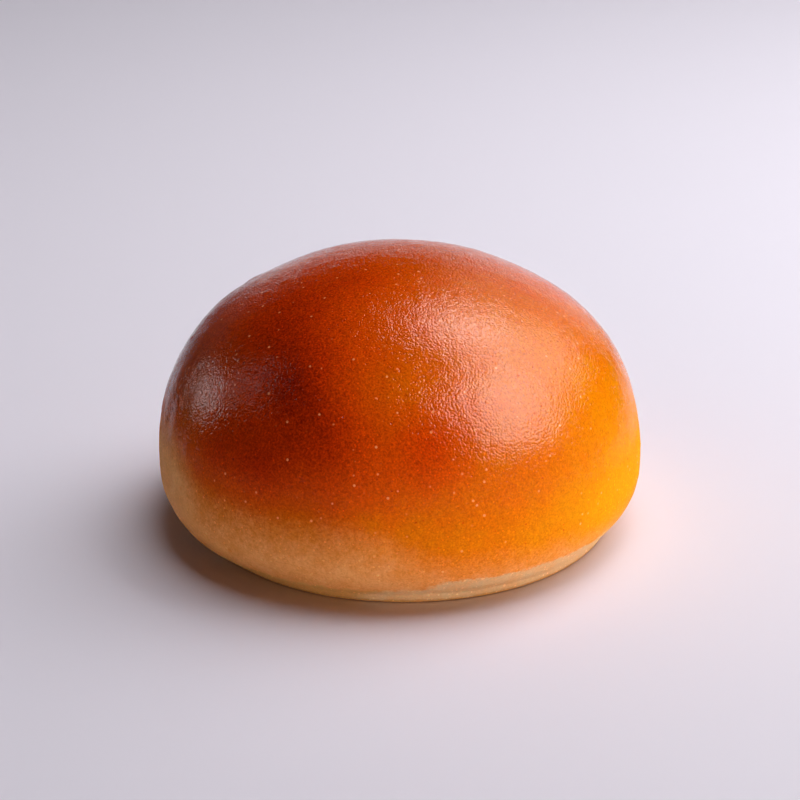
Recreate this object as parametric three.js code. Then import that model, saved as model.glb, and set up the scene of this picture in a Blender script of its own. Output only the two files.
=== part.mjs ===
// A hamburger bun: one uncut, glazed piece of bread that stands on its own flat base.
// Millimetres, +Z up. The origin is the middle of the base, on the surface that the bun stands on.
// The front faces -Y. Azimuths are in degrees from +X towards +Y, so the front is at 270.

import * as THREE from "three";
import { mergeVertices } from "three/addons/utils/BufferGeometryUtils.js";

// Driving dimensions of the mean outline
const GIRTH_RADIUS = 52; // the widest level
const GIRTH_HEIGHT = 15;
const CROWN_HEIGHT = 58.4;
const RIM_RADIUS = 46.8; // lower edge of the browned crust, above the pale foot
const RIM_HEIGHT = 2.8;
const FOOT_RADIUS = 45.4; // where the foot meets the surface
const FOOT_ROUNDING = 0.6;

// Fullness of the curves: 2 is an ellipse, and more is squarer
const DOME_FULLNESS_OUTWARD = 2.11;
const DOME_FULLNESS_UPWARD = 2.3;
const FLANK_FULLNESS = 2.4;

// Rows and columns of the surface
const COLUMNS = 96;
const BASE_ROWS = 5;
const ROUNDING_ROWS = 3;
const FOOT_ROWS = 2;
const FLANK_ROWS = 7;
const DOME_ROWS = 22;

// Out of round: each wave adds its depth to the radius at the girth, first at its azimuth
const GIRTH_WAVES = [
  { count: 2, depth: 0.15, azimuth: 0 },
  { count: 3, depth: 0.22, azimuth: 205 },
  { count: 5, depth: 0.12, azimuth: 75 },
];

// The rim rises and falls round the foot
const RIM_WAVES = [
  { count: 2, depth: 0.25, azimuth: 310 },
  { count: 7, depth: 0.18, azimuth: 20 },
];

// The foot tucks further under the crust here
const TUCKS = [
  { azimuth: 217, spread: 17, inset: 1.8 },
  { azimuth: 80, spread: 30, inset: 1.4 },
];

// Soft swells, and dents where the rise is negative, each round a point of the mean outline
const SWELLS = [
  { azimuth: 112, height: 54.2, spread: 9, rise: 0.2 },
  { azimuth: 162, height: 44, spread: 7, rise: 0.4 },
  { azimuth: 148, height: 51, spread: 5, rise: -0.25 },
  { azimuth: 178, height: 30, spread: 9, rise: -0.4 },
  { azimuth: 35, height: 50.5, spread: 8, rise: -0.25 },
  { azimuth: 0, height: 26, spread: 6, rise: -0.25 },
  { azimuth: 305, height: 36, spread: 13, rise: 0.5 },
  { azimuth: 268, height: 24, spread: 12, rise: -0.35 },
  { azimuth: 225, height: 26, spread: 10, rise: 0.4 },
  { azimuth: 118, height: 24, spread: 11, rise: -0.6 },
  { azimuth: 72, height: 30, spread: 12, rise: 0.5 },
  { azimuth: 45, height: 17, spread: 9, rise: 0.35 },
];

const DOME_RISE = CROWN_HEIGHT - GIRTH_HEIGHT;
const FLANK_RISE = GIRTH_HEIGHT - RIM_HEIGHT;

const bell = (offset, spread) => Math.exp(-0.5 * (offset / spread) ** 2);

// The sum of waves round the bun at an azimuth in radians.
function waveSum(waves, azimuth) {
  let sum = 0;
  for (const wave of waves) {
    const crest = THREE.MathUtils.degToRad(wave.azimuth);
    sum += wave.depth * Math.cos(wave.count * (azimuth - crest));
  }
  return sum;
}

// The dome's radius at a height: a superellipse from the girth to the crown.
function domeRadius(height) {
  const share = Math.max(0, (height - GIRTH_HEIGHT) / DOME_RISE);
  const across = 1 - share ** DOME_FULLNESS_UPWARD;
  return GIRTH_RADIUS * across ** (1 / DOME_FULLNESS_OUTWARD);
}

// The flank's radius at a height: it draws in below the girth, faster towards the rim.
function flankRadius(height) {
  const below = (GIRTH_HEIGHT - height) / FLANK_RISE;
  return GIRTH_RADIUS - (GIRTH_RADIUS - RIM_RADIUS) * below ** FLANK_FULLNESS;
}

// The mean outline from the middle of the base to the crown, as radius and height.
function meanOutline() {
  const points = [];
  const flatRadius = FOOT_RADIUS - FOOT_ROUNDING;
  for (let row = 0; row < BASE_ROWS; row++) {
    points.push(new THREE.Vector2((flatRadius * row) / BASE_ROWS, 0));
  }
  for (let row = 0; row < ROUNDING_ROWS; row++) {
    const turn = ((Math.PI / 2) * row) / ROUNDING_ROWS;
    const radius = flatRadius + FOOT_ROUNDING * Math.sin(turn);
    points.push(new THREE.Vector2(radius, FOOT_ROUNDING * (1 - Math.cos(turn))));
  }
  const footTop = new THREE.Vector2(RIM_RADIUS, RIM_HEIGHT);
  const footBottom = new THREE.Vector2(FOOT_RADIUS, FOOT_ROUNDING);
  for (let row = 0; row < FOOT_ROWS; row++) {
    points.push(footBottom.clone().lerp(footTop, row / FOOT_ROWS));
  }
  for (let row = 0; row < FLANK_ROWS; row++) {
    const height = RIM_HEIGHT + (FLANK_RISE * row) / FLANK_ROWS;
    points.push(new THREE.Vector2(flankRadius(height), height));
  }
  for (let row = 0; row < DOME_ROWS; row++) {
    const climb = Math.sin(((Math.PI / 2) * row) / DOME_ROWS);
    const height = GIRTH_HEIGHT + DOME_RISE * climb ** (2 / DOME_FULLNESS_UPWARD);
    points.push(new THREE.Vector2(domeRadius(height), height));
  }
  points.push(new THREE.Vector2(0, CROWN_HEIGHT));
  return points;
}

// The point of the mean outline that a swell stands round.
function swellCentre({ azimuth, height }) {
  const radius = height < GIRTH_HEIGHT ? flankRadius(height) : domeRadius(height);
  const turn = THREE.MathUtils.degToRad(azimuth);
  return new THREE.Vector3(radius * Math.cos(turn), radius * Math.sin(turn), height);
}

// The way out of the bun: level up to the girth, then turning upright towards the crown.
function outward(point) {
  const radius = Math.hypot(point.x, point.y);
  const share = Math.max(0, (point.z - GIRTH_HEIGHT) / DOME_RISE);
  const across = (radius / GIRTH_RADIUS) ** (DOME_FULLNESS_OUTWARD - 1) / GIRTH_RADIUS;
  const up = share ** (DOME_FULLNESS_UPWARD - 1) / DOME_RISE;
  const turn = Math.atan2(point.y, point.x);
  return new THREE.Vector3(across * Math.cos(turn), across * Math.sin(turn), up).normalize();
}

// How far the foot draws in at an azimuth in radians.
function footInset(azimuth) {
  let inset = 0;
  for (const tuck of TUCKS) {
    const apart = azimuth - THREE.MathUtils.degToRad(tuck.azimuth);
    const degrees = THREE.MathUtils.radToDeg(Math.atan2(Math.sin(apart), Math.cos(apart)));
    inset += tuck.inset * bell(degrees, tuck.spread);
  }
  return inset;
}

// Moves a point of the mean outline to its place on the uneven bun.
function unevenPoint(point, swells) {
  const azimuth = Math.atan2(point.y, point.x);
  const radius = Math.hypot(point.x, point.y);
  const share = radius / GIRTH_RADIUS;
  const upFoot = Math.min(1, point.z / RIM_HEIGHT);
  const upFlank = THREE.MathUtils.clamp((GIRTH_HEIGHT - point.z) / FLANK_RISE, 0, 1);
  const wider = waveSum(GIRTH_WAVES, azimuth) * share;
  const narrower = footInset(azimuth) * (1 - upFoot) * Math.min(1, radius / FOOT_RADIUS);
  const moved = point.clone();
  moved.x += (wider - narrower) * Math.cos(azimuth);
  moved.y += (wider - narrower) * Math.sin(azimuth);
  moved.z += waveSum(RIM_WAVES, azimuth) * upFoot * upFlank;
  let rise = 0;
  for (const swell of swells) {
    rise += swell.rise * bell(point.distanceTo(swell.centre), swell.spread);
  }
  return moved.addScaledVector(outward(point), rise);
}

// The bun's closed surface, with the middle of its base's box at the origin.
function bunGeometry() {
  const swells = SWELLS.map((swell) => ({ ...swell, centre: swellCentre(swell) }));
  const lathe = new THREE.LatheGeometry(meanOutline(), COLUMNS);
  lathe.rotateX(Math.PI / 2);
  lathe.deleteAttribute("normal");
  lathe.deleteAttribute("uv");
  const geometry = mergeVertices(lathe);
  const position = geometry.getAttribute("position");
  for (let i = 0; i < position.count; i++) {
    const point = new THREE.Vector3().fromBufferAttribute(position, i);
    position.setXYZ(i, ...unevenPoint(point, swells));
  }
  geometry.computeBoundingBox();
  const middle = geometry.boundingBox.getCenter(new THREE.Vector3());
  geometry.translate(-middle.x, -middle.y, 0);
  geometry.computeVertexNormals();
  return geometry;
}

const crust = new THREE.MeshStandardMaterial({
  name: "crust",
  color: 0xb4581c,
  roughness: 0.35,
  metalness: 0,
});

const bun = new THREE.Mesh(bunGeometry(), crust);
bun.name = "bun";

const part = new THREE.Group();
part.name = "hamburger_bun";
part.add(bun);

export default part;
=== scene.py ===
"""Hamburger bun: the glazed crust, the stage and the camera, as a Blender add-on run as a script."""

import itertools
from collections import namedtuple
from math import cos, pi, radians, sin

import bpy
import numpy as np
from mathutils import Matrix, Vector


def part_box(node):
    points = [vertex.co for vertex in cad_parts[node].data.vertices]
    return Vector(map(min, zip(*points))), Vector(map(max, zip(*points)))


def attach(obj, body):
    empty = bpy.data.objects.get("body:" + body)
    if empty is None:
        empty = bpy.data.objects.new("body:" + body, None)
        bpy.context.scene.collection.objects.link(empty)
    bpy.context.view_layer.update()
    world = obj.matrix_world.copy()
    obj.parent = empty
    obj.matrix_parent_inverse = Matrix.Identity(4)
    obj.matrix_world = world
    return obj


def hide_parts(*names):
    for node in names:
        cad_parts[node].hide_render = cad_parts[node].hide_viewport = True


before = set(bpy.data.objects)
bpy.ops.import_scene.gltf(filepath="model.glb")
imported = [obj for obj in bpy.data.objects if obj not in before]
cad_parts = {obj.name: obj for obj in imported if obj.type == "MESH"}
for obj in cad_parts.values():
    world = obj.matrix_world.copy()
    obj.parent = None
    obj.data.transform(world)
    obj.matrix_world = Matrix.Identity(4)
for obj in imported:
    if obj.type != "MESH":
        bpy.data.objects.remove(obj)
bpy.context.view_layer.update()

bl_info = {
    "name": "Hamburger Bun",
    "version": (1, 0, 0),
    "blender": (4, 5, 0),
    "location": "View3D > Sidebar > Bun",
    "description": "Builds a glazed hamburger bun over its solid, with a plain stage",
    "category": "Add Mesh",
}

MM = 0.001
NODE = "bun"
BODY = "root"

# The solid's box gives the two driving sizes, and the others are shares of them
NODE_LOW, NODE_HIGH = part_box(NODE)
GIRTH_RADIUS = (NODE_HIGH.x - NODE_LOW.x + NODE_HIGH.y - NODE_LOW.y) / 4
CROWN_HEIGHT = NODE_HIGH.z
GIRTH_HEIGHT = 0.2568 * CROWN_HEIGHT
RIM_HEIGHT = 0.048 * CROWN_HEIGHT
RIM_RADIUS = 0.9 * GIRTH_RADIUS
FOOT_RADIUS = 0.873 * GIRTH_RADIUS
FOOT_ROUNDING = 0.0103 * CROWN_HEIGHT

# Rows and columns of the surface
PATCH_STEPS = 128
COLUMNS = 4 * PATCH_STEPS
ROUNDING_ROWS = 5
FOOT_ROWS = 9
CRUST_ROWS = 113
OUTLINE_SAMPLES = 1500
CAP_SHARE = 0.4
NEAR_ZERO = 1e-9

# Lattice of the noise in the surface
LATTICE = 256
NOISE_GAIN = 1.5

# Floor, camera and room
SHEET_STEPS = 24
SHEET_WIDTH = 0.25
SHEET_FRONT = -0.16
SHEET_BACK = 1.0
FLOOR_ROWS = 24
FLOOR_REACH = 4.0
FLOOR_RISE = 1.2
RISE_START = 0.3
AIM_HEIGHT = 26.1 * MM
SENSOR_WIDTH = 36
CLIP_START = 0.01
ROOM_COLOUR = (0.95, 0.93, 1.0)
WARM = (1.0, 0.97, 0.93)
WHITE = (1.0, 1.0, 1.0)
ON_FLOOR = "on floor"
OFF_FLOOR = "off floor"

# Azimuths are in degrees from +X towards +Y, so the front is at 270. Other sizes are in millimetres.
Wave = namedtuple("Wave", "count depth azimuth")
Tuck = namedtuple("Tuck", "azimuth spread inset")
Swell = namedtuple("Swell", "azimuth height spread rise")
Crease = namedtuple("Crease", "azimuth height length width rise slant")
Folds = namedtuple("Folds", "azimuth spread height reach step lean depth")
Ripple = namedtuple("Ripple", "depth wavelength seed")
Blisters = namedtuple("Blisters", "seed count size rise")
Ridge = namedtuple("Ridge", "rise above_rim width")
Patch = namedtuple("Patch", "azimuth height spread amount")
Rise = namedtuple("Rise", "amount low high")
Noise = namedtuple("Noise", "wavelength detail roughness", defaults=(0.5,))
Dots = namedtuple("Dots", "spacing radius share")
Side = namedtuple("Side", "azimuth start full")

GIRTH_WAVES = (Wave(2, 0.15, 0), Wave(3, 0.22, 205), Wave(5, 0.12, 75))
RIM_WAVES = (Wave(2, 0.25, 310), Wave(7, 0.18, 20))
TUCKS = (Tuck(217, 17, 1.8), Tuck(80, 30, 1.4))
SWELLS = (
    Swell(112, 54.2, 9, 0.2),
    Swell(162, 44, 7, 0.4),
    Swell(148, 51, 5, -0.25),
    Swell(178, 30, 9, 0.2),
    Swell(35, 50.5, 8, -0.25),
    Swell(0, 26, 6, -0.25),
    Swell(305, 36, 13, 0.5),
    Swell(268, 24, 12, -0.35),
    Swell(225, 26, 10, 0.4),
    Swell(118, 24, 11, -0.6),
    Swell(72, 30, 12, 0.5),
    Swell(45, 17, 9, 0.35),
)

# Small folds and nicks of the crust
CREASES = (
    Crease(153, 48.5, 3.6, 0.9, 0.16, 35),
    Crease(156, 47.0, 3.2, 0.8, -0.12, 35),
    Crease(206, 6.4, 1.5, 0.5, -0.45, -20),
    Crease(212, 5.2, 1.8, 0.5, -0.45, -15),
)

# Soft upright folds low on the left side
SIDE_FOLDS = Folds(azimuth=197, spread=14, height=19, reach=8, step=8.5, lean=0.45, depth=0.16)
FOLD_DRIFT = (Ripple(3.0, 14, 41),)

# Relief of the crust, which fades in across two levels counted from the rim
CRUST_FADE = (-0.4, 2.5)
ROLLS = (Ripple(0.09, 15, 11), Ripple(0.04, 7, 12))
PEBBLES = (Ripple(0.045, 3.1, 13), Ripple(0.03, 1.7, 14))
BLISTERS = Blisters(21, 380, 0.5, 0.12)
PITS = Blisters(22, 90, 0.5, -0.07)
BLISTER_LOWEST = 6
BLISTER_TOP_SHARE = 0.985
BLISTER_VARIATION = 0.35
BLISTER_LEAST_SHARE = 0.4

# Relief of the foot: a groove under the crust's lip, the lip, and the torn surface below
GROOVE = Ridge(-0.22, -0.7, 0.35)
LIP = Ridge(0.16, 0.7, 0.7)
RAGGED_EDGE = (Ripple(0.45, 5.5, 31), Ripple(0.25, 2.2, 32))
TORN_FOOT = (Ripple(0.07, 1.9, 33), Ripple(0.05, 1.1, 34))
TORN_TOP_FADE = (1.2, -0.6)
TORN_FLOOR_FADE = (0.05, 0.6)
FOOT_FLOOR_FADE = (0.05, 0.5)

# Relief of the base, inside a share of the foot's radius
BASE_EDGE = (0.93, 0.8)
BASE_LEVEL = 0.01
DISH_DEPTH = 0.25
DISH_WAVES = (Ripple(0.2, 21, 51),)
BASE_PEBBLES = (Ripple(0.09, 4.2, 52), Ripple(0.05, 1.9, 53))


def smooth_step(low, high, value):
    """0 below low, 1 above high, and the ease 3t^2 - 2t^3 between them."""
    t = np.clip((value - low) / (high - low), 0, 1)
    return t * t * (3 - 2 * t)


def bell(offset, spread):
    """A bell curve of height 1: exp(-(offset / spread)^2 / 2)."""
    return np.exp(-0.5 * (offset / spread) ** 2)


def turn_between(azimuth, degrees):
    """The turn in degrees from an azimuth in degrees to each azimuth in radians, the short way round."""
    apart = azimuth - radians(degrees)
    return np.degrees(np.arctan2(np.sin(apart), np.cos(apart)))


def gradient_noise(points, wavelength, seed):
    """Smooth noise of about -1 to 1: seeded slopes at a cubic lattice's corners, eased across each cell."""
    rng = np.random.default_rng(seed)
    shuffle = rng.permutation(LATTICE)
    slopes = rng.normal(size=(LATTICE, 3))
    slopes /= np.linalg.norm(slopes, axis=1, keepdims=True)
    last = LATTICE - 1
    lattice = points / wavelength
    cell = np.floor(lattice).astype(int)
    inside = lattice - cell
    ease = inside**3 * (inside * (inside * 6 - 15) + 10)
    total = np.zeros(len(points))
    for corner in itertools.product((0, 1), repeat=3):
        x, y, z = ((cell + corner) & last).T
        slope = slopes[shuffle[(shuffle[(shuffle[x] + y) & last] + z) & last]]
        weight = np.prod(np.where(corner, ease, 1 - ease), axis=1)
        total += weight * np.sum(slope * (inside - corner), axis=1)
    return NOISE_GAIN * total


def ripple_sum(ripples, points):
    """The sum of layers of noise: each depth times the noise of its wavelength and seed."""
    return sum(r.depth * gradient_noise(points, r.wavelength, r.seed) for r in ripples)


class BunForm(bpy.types.PropertyGroup):
    """Sizes of the bun."""

    girth_radius: bpy.props.FloatProperty(
        name="Girth radius", description="Radius at the widest level", default=GIRTH_RADIUS, unit="LENGTH"
    )
    girth_height: bpy.props.FloatProperty(
        name="Girth height", description="Height of the widest level", default=GIRTH_HEIGHT, unit="LENGTH"
    )
    crown_height: bpy.props.FloatProperty(
        name="Crown height", description="Height of the top", default=CROWN_HEIGHT, unit="LENGTH"
    )
    rim_radius: bpy.props.FloatProperty(
        name="Rim radius", description="Radius at the crust's lower edge", default=RIM_RADIUS, unit="LENGTH"
    )
    rim_height: bpy.props.FloatProperty(
        name="Rim height", description="Height of the crust's lower edge", default=RIM_HEIGHT, unit="LENGTH"
    )
    foot_radius: bpy.props.FloatProperty(
        name="Foot radius", description="Radius at the floor", default=FOOT_RADIUS, unit="LENGTH"
    )
    foot_rounding: bpy.props.FloatProperty(
        name="Foot rounding", description="Radius of the base's edge", default=FOOT_ROUNDING, unit="LENGTH"
    )
    dome_outward: bpy.props.FloatProperty(
        name="Dome fullness outward", description="2 is an ellipse, and more is squarer", default=2.11
    )
    dome_upward: bpy.props.FloatProperty(
        name="Dome fullness upward", description="2 is an ellipse, and more is squarer", default=2.3
    )
    flank_fullness: bpy.props.FloatProperty(
        name="Flank fullness", description="How late the flank draws in below the girth", default=2.4
    )
    relief: bpy.props.FloatProperty(
        name="Relief", description="Share of the fine relief", default=1.0, subtype="FACTOR", min=0, max=2
    )


class CrustFinish(bpy.types.PropertyGroup):
    """Colours and gloss of the crust."""

    foot_colour: bpy.props.FloatVectorProperty(
        name="Foot", description="Pale crumb at the foot", default=(0.96, 0.60, 0.30), subtype="COLOR"
    )
    tan_colour: bpy.props.FloatVectorProperty(
        name="Tan", description="Lightly baked lower flank", default=(0.94, 0.33, 0.068), subtype="COLOR"
    )
    pale_colour: bpy.props.FloatVectorProperty(
        name="Pale tan", description="Floury lower flank", default=(0.97, 0.43, 0.147), subtype="COLOR"
    )
    base_colour: bpy.props.FloatVectorProperty(
        name="Base", description="Browned underside", default=(0.46, 0.17, 0.05), subtype="COLOR"
    )
    tuck_colour: bpy.props.FloatVectorProperty(
        name="Tuck", description="Crust tucked in at the foot", default=(0.85, 0.40, 0.11), subtype="COLOR"
    )
    yellow_colour: bpy.props.FloatVectorProperty(
        name="Yellow", description="Palest glazed crust", default=(0.88, 0.43, 0.003), subtype="COLOR"
    )
    golden_colour: bpy.props.FloatVectorProperty(
        name="Golden", description="Golden crust", default=(0.95, 0.33, 0.002), subtype="COLOR"
    )
    orange_colour: bpy.props.FloatVectorProperty(
        name="Orange", description="Orange crust", default=(0.89, 0.198, 0.0015), subtype="COLOR"
    )
    amber_colour: bpy.props.FloatVectorProperty(
        name="Amber", description="Orange-brown crust", default=(0.84, 0.106, 0.001), subtype="COLOR"
    )
    russet_colour: bpy.props.FloatVectorProperty(
        name="Russet", description="Red-brown crust", default=(0.80, 0.070, 0.0008), subtype="COLOR"
    )
    brown_colour: bpy.props.FloatVectorProperty(
        name="Brown", description="Well baked crust", default=(0.64, 0.037, 0.0006), subtype="COLOR"
    )
    dark_colour: bpy.props.FloatVectorProperty(
        name="Dark", description="Darkest baked patch", default=(0.30, 0.0078, 0.0005), subtype="COLOR"
    )
    # The fleck dots are dry dots on the glaze, and their pale colour is partly a painted glint
    fleck_and_glint_colour: bpy.props.FloatVectorProperty(
        name="Flecks", description="Dry dots on the glaze", default=(0.98, 0.36, 0.14), subtype="COLOR"
    )
    gloss_roughness: bpy.props.FloatProperty(
        name="Gloss roughness", description="Roughness of the glazed dome", default=0.1, subtype="FACTOR"
    )
    glaze: bpy.props.FloatProperty(
        name="Glaze", description="Share of the clear glaze on the dome", default=1.0, subtype="FACTOR"
    )


class StudioStage(bpy.types.PropertyGroup):
    """Floor, lights and camera."""

    floor_colour: bpy.props.FloatVectorProperty(
        name="Floor", description="Colour of the floor", default=(0.80, 0.755, 0.852), subtype="COLOR"
    )
    key_radiance: bpy.props.FloatProperty(
        name="Key", description="Brightness of the large soft light on the right", default=4.95
    )
    card_radiance: bpy.props.FloatProperty(
        name="Card", description="Brightness of the small soft light on the left", default=2.8
    )
    back_radiance: bpy.props.FloatProperty(
        name="Back", description="Brightness of the low soft light behind", default=0.45
    )
    ceiling_radiance: bpy.props.FloatProperty(
        name="Ceiling", description="Brightness of the soft light overhead", default=6.0
    )
    floor_radiance: bpy.props.FloatProperty(
        name="Floor light", description="Brightness of the soft light on the floor alone", default=3.4
    )
    fill_radiance: bpy.props.FloatProperty(
        name="Fill", description="Brightness of the low soft light on the bun's right", default=3.8
    )
    front_radiance: bpy.props.FloatProperty(
        name="Front", description="Brightness of the low soft light on the camera's side", default=3.9
    )
    room_radiance: bpy.props.FloatProperty(
        name="Room", description="Brightness of the room all round", default=0.02
    )
    camera_distance: bpy.props.FloatProperty(
        name="Camera distance", description="From the aim to the camera", default=600 * MM, unit="LENGTH"
    )
    camera_elevation: bpy.props.FloatProperty(
        name="Camera elevation", description="Above the horizon", default=radians(22.6), subtype="ANGLE"
    )
    lens: bpy.props.FloatProperty(
        name="Lens", description="Focal length in millimetres on a 36 mm sensor", default=125.05
    )


def dome_radius(form, height):
    """The dome's superellipse: (radius / girth)^outward + (rise / dome rise)^upward = 1."""
    share = np.clip((height - form.girth_height) / (form.crown_height - form.girth_height), 0, 1)
    return form.girth_radius * (1 - share**form.dome_upward) ** (1 / form.dome_outward)


def flank_radius(form, height):
    """The flank below the girth: the girth less a power of the way down to the rim."""
    below = np.clip((form.girth_height - height) / (form.girth_height - form.rim_height), 0, 1)
    return form.girth_radius - (form.girth_radius - form.rim_radius) * below**form.flank_fullness


def crust_outline(form):
    """The crust's mean outline from rim to crown: radius, height and length so far at each sample."""
    flank = np.linspace(form.rim_height, form.girth_height, OUTLINE_SAMPLES, endpoint=False)
    climb = np.sin(np.linspace(0, pi / 2, OUTLINE_SAMPLES))
    dome_rise = form.crown_height - form.girth_height
    dome = form.girth_height + dome_rise * climb ** (2 / form.dome_upward)
    height = np.concatenate([flank, dome])
    radius = np.where(height < form.girth_height, flank_radius(form, height), dome_radius(form, height))
    steps = np.hypot(np.diff(radius), np.diff(height))
    return radius, height, np.concatenate([[0], np.cumsum(steps)])


def square_disc(steps):
    """A square grid bent to a disc: rings of the square become circles.

    Gives each point's reach, from 0 to 1, and its azimuth."""
    line = np.linspace(-1, 1, steps + 1)
    across, along = np.meshgrid(line, line)
    wide = np.abs(across) >= np.abs(along)
    reach = np.where(wide, across, along)
    other = np.where(wide, along, across)
    share = np.divide(other, reach, out=np.zeros_like(reach), where=reach != 0)
    azimuth = np.where(wide, pi / 4 * share, pi / 2 - pi / 4 * share) + pi * (reach < 0)
    return np.abs(reach).ravel(), azimuth.ravel() % (2 * pi)


def disc_rim(steps, azimuth):
    """The indices of a square grid's border points, in order of azimuth."""
    index = np.arange((steps + 1) ** 2).reshape(steps + 1, steps + 1)
    border = np.concatenate([index[0, :-1], index[:-1, -1], index[-1, 1:], index[1:, 0]])
    return border[np.argsort(azimuth[border])]


def grid_quads(index):
    """The four-sided faces of a grid of indices, turning from the second axis to the first."""
    corners = index[:-1, :-1], index[:-1, 1:], index[1:, 1:], index[1:, :-1]
    return np.stack(corners, axis=-1).reshape(-1, 4)


def bun_grid(form):
    """The mean surface: a square patch on the base, a band of rings up the side and a patch on the crown.

    Gives each point's azimuth, radius and height, and the faces."""
    reach, azimuth = square_disc(PATCH_STEPS)
    rim = disc_rim(PATCH_STEPS, azimuth)
    ring_azimuth = azimuth[rim]
    flat_radius = form.foot_radius - form.foot_rounding
    turn = np.linspace(0, pi / 2, ROUNDING_ROWS, endpoint=False)
    up_foot = np.linspace(0, 1, FOOT_ROWS, endpoint=False)
    crust_radius, crust_height, length = crust_outline(form)
    cap_length = CAP_SHARE * length[-1]
    station = np.linspace(0, length[-1] - cap_length, CRUST_ROWS + 1)
    row_radius = np.concatenate([
        flat_radius + form.foot_rounding * np.sin(turn),
        form.foot_radius + (form.rim_radius - form.foot_radius) * up_foot,
        np.interp(station, length, crust_radius),
    ])
    row_height = np.concatenate([
        form.foot_rounding * (1 - np.cos(turn)),
        form.foot_rounding + (form.rim_height - form.foot_rounding) * up_foot,
        np.interp(station, length, crust_height),
    ])
    inner_radius, inner_height = row_radius[1:-1], row_height[1:-1]
    rows = len(inner_radius)
    cap_station = length[-1] - reach * cap_length
    point_azimuth = np.concatenate([azimuth, np.tile(ring_azimuth, rows), azimuth])
    point_radius = np.concatenate([
        reach * flat_radius,
        np.repeat(inner_radius, COLUMNS),
        np.interp(cap_station, length, crust_radius),
    ])
    point_height = np.concatenate([
        np.zeros_like(reach),
        np.repeat(inner_height, COLUMNS),
        np.interp(cap_station, length, crust_height),
    ])
    patch_size = len(reach)
    band = patch_size + np.arange(rows * COLUMNS).reshape(rows, COLUMNS)
    cap_start = patch_size + band.size
    rings = np.concatenate([[rim], band, [cap_start + rim]])
    rings = np.concatenate([rings, rings[:, :1]], axis=1)
    square = np.arange(patch_size).reshape(PATCH_STEPS + 1, PATCH_STEPS + 1)
    faces = np.concatenate([grid_quads(square)[:, ::-1], grid_quads(rings), cap_start + grid_quads(square)])
    return point_azimuth, point_radius, point_height, faces


def on_outline(form, azimuth, height):
    """The point of the mean crust at an azimuth in degrees and a height in millimetres."""
    level = height * MM
    radius = flank_radius(form, level) if level < form.girth_height else dome_radius(form, level)
    return np.array([radius * cos(radians(azimuth)), radius * sin(radians(azimuth)), level])


def wave_sum(waves, azimuth):
    """The sum of waves round the bun: each depth times the cosine of count times turn from its azimuth."""
    return sum(w.depth * MM * np.cos(w.count * (azimuth - radians(w.azimuth))) for w in waves)


def outward_way(form, azimuth, radius, height):
    """The way out of the bun: level up to the girth, then the superellipse's own normal."""
    dome_rise = form.crown_height - form.girth_height
    share = np.clip((height - form.girth_height) / dome_rise, 0, 1)
    across = (radius / form.girth_radius) ** (form.dome_outward - 1) / form.girth_radius
    up = share ** (form.dome_upward - 1) / dome_rise
    way = np.stack([across * np.cos(azimuth), across * np.sin(azimuth), up], axis=1)
    return way / np.maximum(np.linalg.norm(way, axis=1, keepdims=True), NEAR_ZERO)


def uneven_points(form, azimuth, radius, height):
    """The mean surface moved by waves round the girth and the rim, tucks of the foot, swells and dents."""
    mean = np.stack([radius * np.cos(azimuth), radius * np.sin(azimuth), height], axis=1)
    up_foot = np.clip(height / form.rim_height, 0, 1)
    down_flank = np.clip((form.girth_height - height) / (form.girth_height - form.rim_height), 0, 1)
    inset = sum(t.inset * MM * bell(turn_between(azimuth, t.azimuth), t.spread) for t in TUCKS)
    wider = wave_sum(GIRTH_WAVES, azimuth) * radius / form.girth_radius
    wider -= inset * (1 - up_foot) * np.clip(radius / form.foot_radius, 0, 1)
    points = mean.copy()
    points[:, 0] += wider * np.cos(azimuth)
    points[:, 1] += wider * np.sin(azimuth)
    points[:, 2] += wave_sum(RIM_WAVES, azimuth) * up_foot * down_flank
    rise = np.zeros(len(points))
    for swell in SWELLS:
        centre = on_outline(form, swell.azimuth, swell.height)
        rise += swell.rise * MM * bell(np.linalg.norm(mean - centre, axis=1), swell.spread * MM)
    points += rise[:, None] * outward_way(form, azimuth, radius, height)
    middle = (points.min(axis=0) + points.max(axis=0)) / 2
    points[:, :2] -= middle[:2]
    return points


def blister_relief(points, form, blisters):
    """Small round swellings at seeded places of the dome, each a bell of its own size, summed."""
    rng = np.random.default_rng(blisters.seed)
    total = np.zeros(len(points))
    for _ in range(blisters.count):
        azimuth = rng.uniform(0, 360)
        level = rng.uniform(BLISTER_LOWEST, BLISTER_TOP_SHARE * form.crown_height / MM)
        spread = blisters.size * rng.lognormal(0, BLISTER_VARIATION)
        share = rng.uniform(BLISTER_LEAST_SHARE, 1.0)
        apart = np.linalg.norm(points - on_outline(form, azimuth, level) / MM, axis=1)
        total += share * blisters.rise * bell(apart, spread)
    return total


def crease_relief(points, azimuth, form):
    """Short folds and nicks: each a bell along its length and across its width, turned by its slant."""
    total = np.zeros(len(points))
    for crease in CREASES:
        radius = np.linalg.norm(on_outline(form, crease.azimuth, crease.height)[:2]) / MM
        along = np.radians(turn_between(azimuth, crease.azimuth)) * radius
        up = points[:, 2] - crease.height
        slant = radians(crease.slant)
        lengthwise = along * cos(slant) + up * sin(slant)
        crosswise = up * cos(slant) - along * sin(slant)
        total += crease.rise * bell(lengthwise, crease.length) * bell(crosswise, crease.width)
    return total


def side_fold_relief(points, azimuth, folds):
    """Soft upright folds: waves along the azimuth that lean with height and fade out all round."""
    turn = turn_between(azimuth, folds.azimuth)
    height = points[:, 2]
    drift = ripple_sum(FOLD_DRIFT, points)
    waves = np.cos(2 * pi * (turn + folds.lean * height + drift) / folds.step)
    return folds.depth * waves * bell(turn, folds.spread) * bell(height - folds.height, folds.reach)


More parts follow.
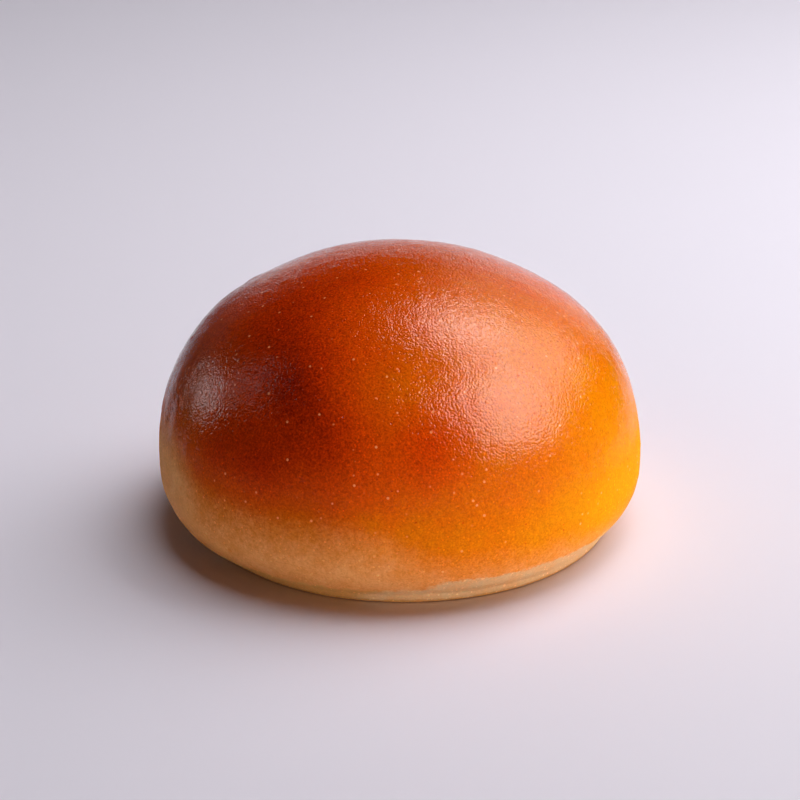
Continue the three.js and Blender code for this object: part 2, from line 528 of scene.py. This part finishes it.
def crust_relief(form, points, azimuth):
    """The crust's relief in millimetres: rolls, pebbling, blisters and pits, with folds and nicks."""
    height = points[:, 2]
    rim = form.rim_height / MM
    low, high = CRUST_FADE
    on_crust = smooth_step(rim + low, rim + high, height)
    rolls = ripple_sum(ROLLS, points)
    pebbles = ripple_sum(PEBBLES, points)
    blisters = blister_relief(points, form, BLISTERS)
    pits = blister_relief(points, form, PITS)
    folds = side_fold_relief(points, azimuth, SIDE_FOLDS) + crease_relief(points, azimuth, form)
    return form.relief * (on_crust * (rolls + pebbles + blisters + pits) + folds)


def ridge_relief(ridge, height, rim, ragged):
    """A ridge or groove round the foot: a bell across its width, at its level above a ragged rim."""
    return ridge.rise * bell(height - (rim + ridge.above_rim + ragged), ridge.width)


def foot_relief(form, points):
    """The foot's relief in millimetres: a groove under the crust's lip, the lip and a torn surface."""
    height = points[:, 2]
    rim = form.rim_height / MM
    ragged = ripple_sum(RAGGED_EDGE, points)
    groove = ridge_relief(GROOVE, height, rim, ragged)
    lip = ridge_relief(LIP, height, rim, ragged)
    high, low = TORN_TOP_FADE
    below = smooth_step(rim + high, rim + low, height) * smooth_step(*TORN_FLOOR_FADE, height)
    torn = ripple_sum(TORN_FOOT, points)
    return form.relief * (groove + lip + below * torn) * smooth_step(*FOOT_FLOOR_FADE, height)


def base_relief(form, points):
    """The base's hollows in millimetres, up from the floor: a shallow dish and pebbling inside its edge."""
    reach = np.linalg.norm(points[:, :2], axis=1) / (form.foot_radius / MM)
    inside = smooth_step(*BASE_EDGE, reach) * (points[:, 2] < BASE_LEVEL)
    dish = DISH_DEPTH + ripple_sum(DISH_WAVES, points)
    pebbles = ripple_sum(BASE_PEBBLES, points)
    return form.relief * inside * np.clip(dish + pebbles, 0, None)


def bun_surface(form):
    """The finished surface: the uneven bun, moved outward by its relief, and upward at the base."""
    azimuth, radius, height, faces = bun_grid(form)
    points = uneven_points(form, azimuth, radius, height)
    scaled = points / MM
    rise = crust_relief(form, scaled, azimuth) + foot_relief(form, scaled)
    points = points + rise[:, None] * MM * outward_way(form, azimuth, radius, height)
    points[:, 2] = np.maximum(points[:, 2], 0) + base_relief(form, scaled) * MM
    return points, faces


def new_mesh_object(name, points, faces):
    """A smooth-shaded mesh object at the origin, from arrays of points and faces."""
    mesh = bpy.data.meshes.new(name)
    mesh.from_pydata(points, [], faces)
    mesh.polygons.foreach_set("use_smooth", np.ones(len(faces), dtype=bool))
    mesh.validate()
    mesh.update()
    made = bpy.data.objects.new(name, mesh)
    bpy.context.scene.collection.objects.link(made)
    return made


class Flow:
    """One output of a node. Arithmetic on it adds Math nodes, so that shader maths reads as Python."""

    def __init__(self, wiring, socket):
        self.wiring = wiring
        self.socket = socket

    def math(self, operation, first, second=0.0):
        """A Math node's output."""
        return self.wiring.add("ShaderNodeMath", {"operation": operation}, {0: first, 1: second})

    def __add__(self, other):
        return self.math("ADD", self, other)

    def __radd__(self, other):
        return self.math("ADD", other, self)

    def __sub__(self, other):
        return self.math("SUBTRACT", self, other)

    def __rsub__(self, other):
        return self.math("SUBTRACT", other, self)

    def __mul__(self, other):
        return self.math("MULTIPLY", self, other)

    def __rmul__(self, other):
        return self.math("MULTIPLY", other, self)

    def __truediv__(self, other):
        return self.math("DIVIDE", self, other)

    def __rtruediv__(self, other):
        return self.math("DIVIDE", other, self)

    def exp(self):
        """The number e to the power of the value."""
        return self.math("EXPONENT", self)

    def smooth(self, low, high):
        """0 where the value is at low, 1 at high, eased between them."""
        settings = {"interpolation_type": "SMOOTHSTEP"}
        sockets = {"Value": self, "From Min": low, "From Max": high}
        return self.wiring.add("ShaderNodeMapRange", settings, sockets)


class Wiring:
    """The nodes of one material."""

    def __init__(self, name):
        self.material = bpy.data.materials.new(name)
        self.material.use_nodes = True
        self.tree = self.material.node_tree
        self.tree.nodes.clear()

    def add(self, kind, settings=None, sockets=None, output=0):
        """Adds a node, sets its settings, then its sockets' values or links, and gives one output."""
        node = self.tree.nodes.new(kind)
        for key, value in (settings or {}).items():
            if key == "stops":
                self.set_stops(node.color_ramp, value)
            else:
                setattr(node, key, value)
        for key, value in (sockets or {}).items():
            if isinstance(value, Flow):
                self.tree.links.new(value.socket, node.inputs[key])
            else:
                node.inputs[key].default_value = value
        return Flow(self, node.outputs[output]) if len(node.outputs) else None

    @staticmethod
    def set_stops(ramp, stops):
        """Gives a colour ramp its stops, each a position and a colour."""
        while len(ramp.elements) < len(stops):
            ramp.elements.new(1.0)
        for element, (position, colour) in zip(ramp.elements, stops):
            element.position = position
            element.color = (*colour, 1.0)

    def noise(self, place, noise):
        """Noise about 0 with features of a wavelength, from about -1 to 1."""
        sockets = {"Vector": place, "Scale": 1 / noise.wavelength}
        sockets.update({"Detail": noise.detail, "Roughness": noise.roughness})
        return self.add("ShaderNodeTexNoise", {}, sockets) * 2 - 1

    def dots(self, place, dots):
        """1 on small round dots and 0 between them: one dot at most in each cell of a scatter.

        A dot's edge is eased from 1.3 to 0.5 of its radius, and only a share of the cells has a dot."""
        scatter = {"Vector": place, "Scale": 1 / dots.spacing}
        apart = self.add("ShaderNodeTexVoronoi", {}, scatter, output="Distance") * dots.spacing
        chance = self.add("ShaderNodeTexVoronoi", {}, scatter, output="Color")
        chance = self.add("ShaderNodeSeparateColor", {}, {0: chance}, output=0)
        inside = apart.smooth(dots.radius * 1.3, dots.radius * 0.5)
        return inside * chance.smooth(1 - dots.share, 1.2 - dots.share)

    def mix(self, share, first, second):
        """A colour from first to second by a share."""
        sockets = {0: share, 6: first, 7: second}
        return self.add("ShaderNodeMix", {"data_type": "RGBA"}, sockets, output=2)

    def finish(self, shader):
        """Links a shader to the material's output and gives the material."""
        self.add("ShaderNodeOutputMaterial", {}, {"Surface": shader})
        return self.material


def opaque(colour):
    """A colour socket's value from a colour of three numbers."""
    return (*colour, 1.0)


# The crust is baked more with height, and in patches more, or less where the amount is negative
BAKE_START = 0.206
BAKE_RISES = (Rise(0.168, 14, 30), Rise(0.165, 28, 56))
BAKE_PATCHES = (
    Patch(236, 28.5, 5.4, 0.30),
    Patch(217, 51.9, 11.5, 0.31),
    Patch(254, 33.3, 7.8, 0.33),
    Patch(277, 34.6, 5.0, 0.29),
    Patch(238, 42.3, 8.3, 0.37),
    Patch(267, 44.6, 6.0, -0.08),
    Patch(336, 21.1, 18.0, -0.26),
    Patch(223, 30.0, 5.2, 0.31),
    Patch(314, 51.5, 18.0, -0.27),
    Patch(228, 57.5, 5.8, 0.13),
    Patch(5, 42.0, 12.0, -0.10),
    Patch(60, 55.0, 10.0, -0.15),
    Patch(160, 40.0, 12.0, 0.30),
    Patch(140, 48.0, 10.0, 0.18),
    Patch(105, 34.0, 11.0, 0.28),
    Patch(70, 40.0, 10.0, 0.20),
    Patch(40, 30.0, 9.0, 0.14),
    Patch(15, 16.0, 13.0, -0.22),
)

# How far the crust is baked at each colour, from the palest to the darkest
BAKE_STEPS = (-0.15, 0.0, 0.2, 0.4, 0.6, 0.8, 1.0)
PALEST = BAKE_STEPS[0]
DARKEST = BAKE_STEPS[-1]

# Noises, dots and cobbles of the crust
BLOTCH = Noise(13, 3.0)
MOTTLE = Noise(4.0, 4.0, 0.6)
GRAIN = Noise(0.8, 2.0, 0.6)
FINE = Noise(0.42, 1.0)
BROAD_RAGS = Noise(6.0, 4.0)
SMALL_RAGS = Noise(1.9, 2.0)
DIMPLES = Noise(1.9, 1.0)
# Fleck dots: dry dots on the glaze, also brightened as painted glints
FLECKS_AND_GLINTS = Dots(2.2, 0.3, 0.5)
PORES = Dots(1.6, 0.2, 0.3)
# Speck dots: painted glints
GLINT_SPECKS = Dots(1.0, 0.18, 0.6)
FRECKLES = Dots(5.0, 0.6, 0.5)
COBBLE_SIZE = 0.5
COBBLE_SMOOTHNESS = 0.3

# Sides where the crust differs, or has painted shade, each with the shares of the girth across which the
# difference sets in
PALE_FLANK = Side(228, 0.58, 0.86)
LEFT_FLANK = Side(194, 0.88, 1.0)
LEFT_EDGE = Side(188, 0.88, 0.98)
# Painted shade: the crust towards this side is darkened above the flank
PAINTED_SHADE_SIDE = Side(210, 0.55, 0.78)
# The pale foot reaches higher towards this side, and is darkened there as painted shade
RIGHT_FOOT = Side(312, 0.7, 0.86)
TUCKED_FOOT = Side(238, 0.79, 0.84)

# Levels of the crust's layers, and the heights across which each one fades
FLANK_LEVEL = 7.5
FLANK_FADE = (-7, 7)
FOOT_ABOVE_RIM = 1.1
FOOT_FADE = (-0.6, 0.5)
# The browned base reaches a little above the floor, so it also lays a dark line along the foot's bottom
# edge: partly a browned edge, partly painted contact shadow
BASE_TOP = 0.65
BASE_FADE = (-0.3, 0.3)
GLAZE_FADE = (20, 36)

# Finish of the crust below the glaze
DRY_ROUGHNESS = 0.9
DRY_SPECULAR = 0.05

CRUST_PARTS = "wiring place height form finish blotch mottle grain fine flecks pores specks freckles"
Crust = namedtuple("Crust", CRUST_PARTS)


def crust_parts(form, finish):
    """What the crust's colours share: the place in millimetres, its height, and the noises and dots."""
    wiring = Wiring("bun_crust")
    place = wiring.add("ShaderNodeTexCoord", {}, {}, output="Object")
    place = wiring.add("ShaderNodeVectorMath", {"operation": "SCALE"}, {0: place, "Scale": 1 / MM})
    return Crust(
        wiring=wiring,
        place=place,
        height=wiring.add("ShaderNodeSeparateXYZ", {}, {0: place}, output="Z"),
        form=form,
        finish=finish,
        blotch=wiring.noise(place, BLOTCH),
        mottle=wiring.noise(place, MOTTLE),
        grain=wiring.noise(place, GRAIN),
        fine=wiring.noise(place, FINE),
        flecks=wiring.dots(place, FLECKS_AND_GLINTS),
        pores=wiring.dots(place, PORES),
        specks=wiring.dots(place, GLINT_SPECKS),
        freckles=wiring.dots(place, FRECKLES),
    )


def facing(crust, side):
    """How far a place lies on a side: its reach that way as a share of the girth, eased from 0 to 1."""
    azimuth = radians(side.azimuth)
    sockets = {0: crust.place, 1: (cos(azimuth), sin(azimuth), 0)}
    along = crust.wiring.add("ShaderNodeVectorMath", {"operation": "DOT_PRODUCT"}, sockets, output="Value")
    return (along / (crust.form.girth_radius / MM)).smooth(side.start, side.full)


def bake_level(crust):
    """How far the crust is baked: more with height, with a bell round each patch, noise and pores added."""
    bake = BAKE_START
    for rise in BAKE_RISES:
        bake = bake + rise.amount * crust.height.smooth(rise.low, rise.high)
    for patch in BAKE_PATCHES:
        centre = on_outline(crust.form, patch.azimuth, patch.height) / MM
        sockets = {0: crust.place, 1: centre}
        apart = crust.wiring.add("ShaderNodeVectorMath", {"operation": "DISTANCE"}, sockets, output="Value")
        bake = bake + patch.amount * (apart * apart * (-0.5 / patch.spread**2)).exp()
    bake = bake + 0.07 * crust.blotch + 0.08 * crust.mottle
    return bake - 0.06 * crust.grain - 0.08 * crust.fine + 0.25 * crust.pores


def dome_colour(crust, bake):
    """The glazed crust's colour: a ramp over how far it is baked, with dry fleck dots whose pale colour is
    partly a painted glint.
    """
    finish = crust.finish
    colours = (
        finish.yellow_colour,
        finish.golden_colour,
        finish.orange_colour,
        finish.amber_colour,
        finish.russet_colour,
        finish.brown_colour,
        finish.dark_colour,
    )
    span = DARKEST - PALEST
    stops = [((step - PALEST) / span, colour) for step, colour in zip(BAKE_STEPS, colours)]
    colour = crust.wiring.add("ShaderNodeValToRGB", {"stops": stops}, {"Fac": (bake - PALEST) / span})
    return crust.wiring.mix(0.7 * crust.flecks, colour, opaque(finish.fleck_and_glint_colour))


def flank_layer(crust):
    """The lower flank's colour, tan with floury patches and freckles, and its share.

    The share is eased across a level that climbs on the left, where the flank is paler."""
    finish = crust.finish
    edge = facing(crust, LEFT_EDGE)
    level = FLANK_LEVEL + 7.5 * facing(crust, PALE_FLANK) + 5.0 * facing(crust, LEFT_FLANK) + 6.0 * edge
    below = level - crust.height + 2.5 * crust.blotch + 2.0 * crust.mottle + 2.5 * crust.grain
    floury = (0.5 + 0.5 * crust.mottle + 0.15 * crust.grain + 0.2 * crust.fine).smooth(0, 1)
    colour = crust.wiring.mix(floury, opaque(finish.tan_colour), opaque(finish.pale_colour))
    colour = crust.wiring.mix(0.35 * crust.freckles, colour, opaque(finish.orange_colour))
    colour = crust.wiring.mix(0.25 * edge, colour, opaque(finish.foot_colour))
    return colour, below.smooth(*FLANK_FADE)


def foot_layer(crust, rightward):
    """The foot's colour, pale crumb with a tuck at the left front, and its share below a ragged edge."""
    finish = crust.finish
    ragged = 0.9 * crust.wiring.noise(crust.place, BROAD_RAGS) + 0.5 * crust.mottle
    ragged = ragged + 1.0 * crust.wiring.noise(crust.place, SMALL_RAGS) + 0.6 * crust.grain
    level = crust.form.rim_height / MM + FOOT_ABOVE_RIM + 2.5 * rightward
    share = (level + ragged - crust.height).smooth(*FOOT_FADE)
    paler = (0.35 + 0.6 * crust.mottle).smooth(0, 1)
    colour = crust.wiring.mix(paler, opaque(finish.foot_colour), opaque(finish.pale_colour))
    return crust.wiring.mix(facing(crust, TUCKED_FOOT), colour, opaque(finish.tuck_colour)), share


def base_layer(crust):
    """The underside's colour, browned in patches, and its share at the level of the base."""
    finish = crust.finish
    # Partly painted contact shadow: the browned colour climbs a little onto the foot's bottom edge
    level = BASE_TOP + 0.5 * crust.mottle + 0.3 * crust.grain + 0.4 * crust.blotch
    share = 0.85 * (level - crust.height).smooth(*BASE_FADE)
    paler = (0.5 + 0.4 * crust.blotch + 0.4 * crust.mottle).smooth(0, 1)
    return crust.wiring.mix(paler, opaque(finish.base_colour), opaque(finish.tuck_colour)), share


def fine_relief(crust):
    """The bump's height in millimetres: noise, cobbles by a scatter's squared distance, and dots."""
    sockets = {"Vector": crust.place, "Scale": 1 / COBBLE_SIZE, "Smoothness": COBBLE_SMOOTHNESS}
    cobble = crust.wiring.add("ShaderNodeTexVoronoi", {"feature": "SMOOTH_F1"}, sockets, output="Distance")
    relief = 0.03 * crust.fine + 0.02 * crust.grain + 0.03 * crust.wiring.noise(crust.place, DIMPLES)
    return relief - 0.065 * cobble * cobble + 0.015 * crust.flecks - 0.08 * crust.pores


def crust_material(form, finish):
    """Crust from a browned base and pale foot to a brown dome, with a glaze that dulls towards the foot."""
    crust = crust_parts(form, finish)
    wiring = crust.wiring
    bake = bake_level(crust)
    colour = dome_colour(crust, bake)
    flank, on_flank = flank_layer(crust)
    colour = wiring.mix(on_flank, colour, flank)
    rightward = facing(crust, RIGHT_FOOT)
    foot, on_foot = foot_layer(crust, rightward)
    colour = wiring.mix(on_foot, colour, foot)
    base, on_base = base_layer(crust)
    colour = wiring.mix(on_base, colour, base)

    # Painted shade on the left side of the crust, above the flank
    painted_shade = facing(crust, PAINTED_SHADE_SIDE)
    grainy = (0.42 * crust.fine + 0.25 * crust.grain) * (0.3 + 1.2 * bake) * (1 - 0.4 * on_flank)
    # Random grain and mottle vary the tone; the speck and fleck dots are brightened as painted glints
    shade = 1 + grainy + 0.1 * crust.mottle + 0.5 * crust.specks + 0.4 * crust.flecks
    # Painted shade: darker on the left side above the flank, and on the foot at the right
    shade = shade * (1 - 0.22 * painted_shade * (1 - on_flank)) * (1 - 0.13 * on_foot * rightward)
    colour = wiring.add("ShaderNodeVectorMath", {"operation": "SCALE"}, {0: colour, "Scale": shade})

    sockets = {"Height": fine_relief(crust), "Distance": MM}
    bread = {
        "Base Color": colour,
        "Subsurface Weight": 0.12,
        "Subsurface Radius": (1.0, 0.35, 0.12),
        "Subsurface Scale": 1.5 * MM,
        "Normal": wiring.add("ShaderNodeBump", {}, sockets, output="Normal"),
    }
    rough = {"Roughness": DRY_ROUGHNESS, "Specular IOR Level": DRY_SPECULAR}
    glossy = {"Roughness": finish.gloss_roughness + 0.04 * crust.mottle}
    dry = wiring.add("ShaderNodeBsdfPrincipled", {}, {**bread, **rough})
    glazed = wiring.add("ShaderNodeBsdfPrincipled", {}, {**bread, **glossy})
    on_dome = finish.glaze * (crust.height + 2.0 * crust.blotch).smooth(*GLAZE_FADE)
    shader = wiring.add("ShaderNodeMixShader", {}, {0: on_dome, 1: dry, 2: glazed})
    return wiring.finish(shader)


def floor_material(stage):
    """A plain pale floor."""
    wiring = Wiring("stage_floor")
    shader = wiring.add("ShaderNodeBsdfPrincipled", {}, {
        "Base Color": opaque(stage.floor_colour),
        "Roughness": 0.75,
    })
    return wiring.finish(shader)


def floor_objects(stage):
    """The floor in two parts: a sheet round the bun, and the rest, which rises far off and isn't mirrored.

    The sheet is a flat grid. The rest runs from its border to a wide ring and climbs an eased step."""
    line = np.linspace(-1, 1, SHEET_STEPS + 1)
    across, along = np.meshgrid(line, line)
    middle = (SHEET_FRONT + SHEET_BACK) / 2
    depth = SHEET_BACK - SHEET_FRONT
    grid = np.stack([across * SHEET_WIDTH / 2, middle + along * depth / 2, 0 * across], axis=-1)
    points = grid.reshape(-1, 3)
    index = np.arange(len(points)).reshape(across.shape)
    sheet = new_mesh_object("stage_sheet", points, grid_quads(index))

    azimuth = np.arctan2(points[:, 1] - middle, points[:, 0])
    border = points[disc_rim(SHEET_STEPS, azimuth % (2 * pi))]
    turn = np.arctan2(border[:, 1] - middle, border[:, 0])
    far = np.stack([FLOOR_REACH * np.cos(turn), FLOOR_REACH * np.sin(turn), 0 * turn], axis=1)
    share = np.linspace(0, 1, FLOOR_ROWS)[:, None, None] ** 2
    rings = border + (far - border) * share
    rings[..., 2] = FLOOR_RISE * smooth_step(RISE_START, 1.0, share[..., 0])
    index = np.arange(rings.shape[0] * rings.shape[1]).reshape(rings.shape[:2])
    index = np.concatenate([index, index[:, :1]], axis=1)
    floor = new_mesh_object("stage_floor", rings.reshape(-1, 3), grid_quads(index)[:, ::-1])
    floor.visible_glossy = False
    material = floor_material(stage)
    sheet.data.materials.append(material)
    floor.data.materials.append(material)
    return sheet, floor


def sky_place(azimuth, elevation, distance):
    """A point by its azimuth from the camera's side round to the right, its elevation and its distance."""
    a, e = radians(azimuth), radians(elevation)
    return Vector((sin(a) * cos(e), -cos(a) * cos(e), sin(e))) * distance


# A light's brightness is a share of one of the stage's values. Sizes and distances are in metres.
# A light with no reach leaves only a highlight. One with a reach shines there without a highlight.
Lamp = namedtuple("Lamp", "name place width height level share colour reach", defaults=(None,))

LAMPS = (
    Lamp("key right", sky_place(64.5, 44.5, 0.65), 0.47, 0.53, "key_radiance", 1.0, WARM),
    Lamp("key behind", sky_place(115, 47, 0.75), 0.52, 0.58, "key_radiance", 0.53, WARM),
    Lamp("key over", sky_place(146, 63, 0.75), 0.26, 0.3, "key_radiance", 0.95, WARM),
    Lamp("card", sky_place(-115, 15, 0.7), 0.18, 0.17, "card_radiance", 1.0, WHITE),
    Lamp("card over", sky_place(-98, 38, 0.7), 0.1, 0.2, "card_radiance", 0.4, WHITE),
    Lamp("back", sky_place(173, 2.5, 1.2), 1.05, 0.17, "back_radiance", 2.2, WHITE),
    Lamp("back left", sky_place(-151, 11, 1.2), 0.9, 0.3, "back_radiance", 0.16, WHITE),
    Lamp("back right", sky_place(160, 20, 0.9), 0.36, 0.58, "back_radiance", 1.0, WHITE),
    Lamp("ceiling", Vector((0.45, 0.35, 0.9)), 0.6, 0.6, "ceiling_radiance", 1.0, WHITE, OFF_FLOOR),
    Lamp("floor over", Vector((0.17, 0.13, 1.0)), 0.6, 0.6, "ceiling_radiance", 0.76, WHITE, ON_FLOOR),
    Lamp("floor light", sky_place(118, 45, 0.65), 0.52, 0.54, "floor_radiance", 1.0, WHITE, ON_FLOOR),
    Lamp("fill low", sky_place(75, 16, 0.8), 0.5, 0.3, "fill_radiance", 1.0, WARM, OFF_FLOOR),
    Lamp("fill right", sky_place(70, 28, 0.65), 0.49, 0.45, "fill_radiance", 0.3, WARM, OFF_FLOOR),
    Lamp("fill front", sky_place(40, 25, 0.75), 0.45, 0.4, "fill_radiance", 0.18, WARM, OFF_FLOOR),
    Lamp("front", sky_place(18, 4.5, 0.8), 1.2, 0.12, "front_radiance", 1.0, WHITE, OFF_FLOOR),
)


def reach_list(name, objects, state):
    """A list of objects for a light's reach: lit with the state INCLUDE, skipped with EXCLUDE."""
    listed = bpy.data.collections.new(name)
    for thing in objects:
        listed.objects.link(thing)
    for entry in listed.collection_objects:
        entry.light_linking.link_state = state
    return listed


def soft_light(lamp, stage, aim, reaches):
    """A rectangular area light that faces the aim, with the power that gives it its radiance."""
    light = bpy.data.lights.new(lamp.name, "AREA")
    light.shape = "RECTANGLE"
    light.size = lamp.width
    light.size_y = lamp.height
    light.energy = lamp.share * getattr(stage, lamp.level) * pi * lamp.width * lamp.height
    light.color = lamp.colour
    holder = bpy.data.objects.new(lamp.name, light)
    holder.location = lamp.place
    holder.rotation_mode = "QUATERNION"
    holder.rotation_quaternion = (aim - lamp.place).to_track_quat("-Z", "Y")
    holder.visible_camera = False
    holder.visible_glossy = lamp.reach is None
    holder.visible_diffuse = lamp.reach is not None
    holder.light_linking.receiver_collection = reaches.get(lamp.reach)
    bpy.context.scene.collection.objects.link(holder)


def dim_room(scene, stage):
    """A faint even light from all round, which isn't mirrored."""
    world = bpy.data.worlds.new("room")
    world.use_nodes = True
    background = world.node_tree.nodes["Background"]
    background.inputs["Color"].default_value = opaque(ROOM_COLOUR)
    background.inputs["Strength"].default_value = stage.room_radiance
    scene.world = world
    world.cycles_visibility.glossy = False


def front_camera(scene, stage, aim):
    """The camera at its distance and elevation in front of the aim."""
    camera = bpy.data.objects.new("camera", bpy.data.cameras.new("camera"))
    camera.data.sensor_width = SENSOR_WIDTH
    camera.data.lens = stage.lens
    camera.data.clip_start = CLIP_START
    elevation = np.degrees(stage.camera_elevation)
    camera.location = aim + sky_place(0, elevation, stage.camera_distance)
    camera.rotation_mode = "QUATERNION"
    camera.rotation_quaternion = (aim - camera.location).to_track_quat("-Z", "Y")
    scene.collection.objects.link(camera)
    scene.camera = camera


class BUN_OT_crust(bpy.types.Operator):
    """Build the bun's crust over its solid"""

    bl_idname = "bun.crust"
    bl_label = "Bun crust"

    def execute(self, context):
        form = context.scene.bun_form
        points, faces = bun_surface(form)
        crust = new_mesh_object("bun_crust", points, faces)
        crust.data.materials.append(crust_material(form, context.scene.crust_finish))
        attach(crust, BODY)
        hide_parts(NODE)
        return {"FINISHED"}


class BUN_OT_stage(bpy.types.Operator):
    """Lay the floor, place the soft lights and set the camera"""

    bl_idname = "bun.stage"
    bl_label = "Stage"

    def execute(self, context):
        scene = context.scene
        stage = scene.studio_stage
        aim = Vector((0, 0, AIM_HEIGHT))
        sheet, floor = floor_objects(stage)
        reaches = {
            ON_FLOOR: reach_list(ON_FLOOR, (sheet, floor), "INCLUDE"),
            OFF_FLOOR: reach_list(OFF_FLOOR, (sheet, floor), "EXCLUDE"),
        }
        for lamp in LAMPS:
            soft_light(lamp, stage, aim, reaches)
        dim_room(scene, stage)
        front_camera(scene, stage, aim)
        scene.view_settings.view_transform = "Standard"
        return {"FINISHED"}


class BUN_PT_sidebar(bpy.types.Panel):
    """The bun's sizes, finish and stage"""

    bl_label = "Hamburger Bun"
    bl_idname = "BUN_PT_sidebar"
    bl_space_type = "VIEW_3D"
    bl_region_type = "UI"
    bl_category = "Bun"

    def draw(self, context):
        scene = context.scene
        for group in (scene.bun_form, scene.crust_finish, scene.studio_stage):
            box = self.layout.box()
            for name in group.__annotations__:
                box.prop(group, name)
        self.layout.operator(BUN_OT_crust.bl_idname)
        self.layout.operator(BUN_OT_stage.bl_idname)


CLASSES = (BunForm, CrustFinish, StudioStage, BUN_OT_crust, BUN_OT_stage, BUN_PT_sidebar)


def register():
    """Adds the classes and puts the property groups on the scene."""
    for cls in CLASSES:
        bpy.utils.register_class(cls)
    bpy.types.Scene.bun_form = bpy.props.PointerProperty(type=BunForm)
    bpy.types.Scene.crust_finish = bpy.props.PointerProperty(type=CrustFinish)
    bpy.types.Scene.studio_stage = bpy.props.PointerProperty(type=StudioStage)


def unregister():
    """Takes the property groups and the classes away again."""
    del bpy.types.Scene.studio_stage
    del bpy.types.Scene.crust_finish
    del bpy.types.Scene.bun_form
    for cls in reversed(CLASSES):
        bpy.utils.unregister_class(cls)


def main():
    """Builds the bun and the stage."""
    register()
    bpy.ops.bun.crust()
    bpy.ops.bun.stage()


if __name__ == "__main__":
    main()
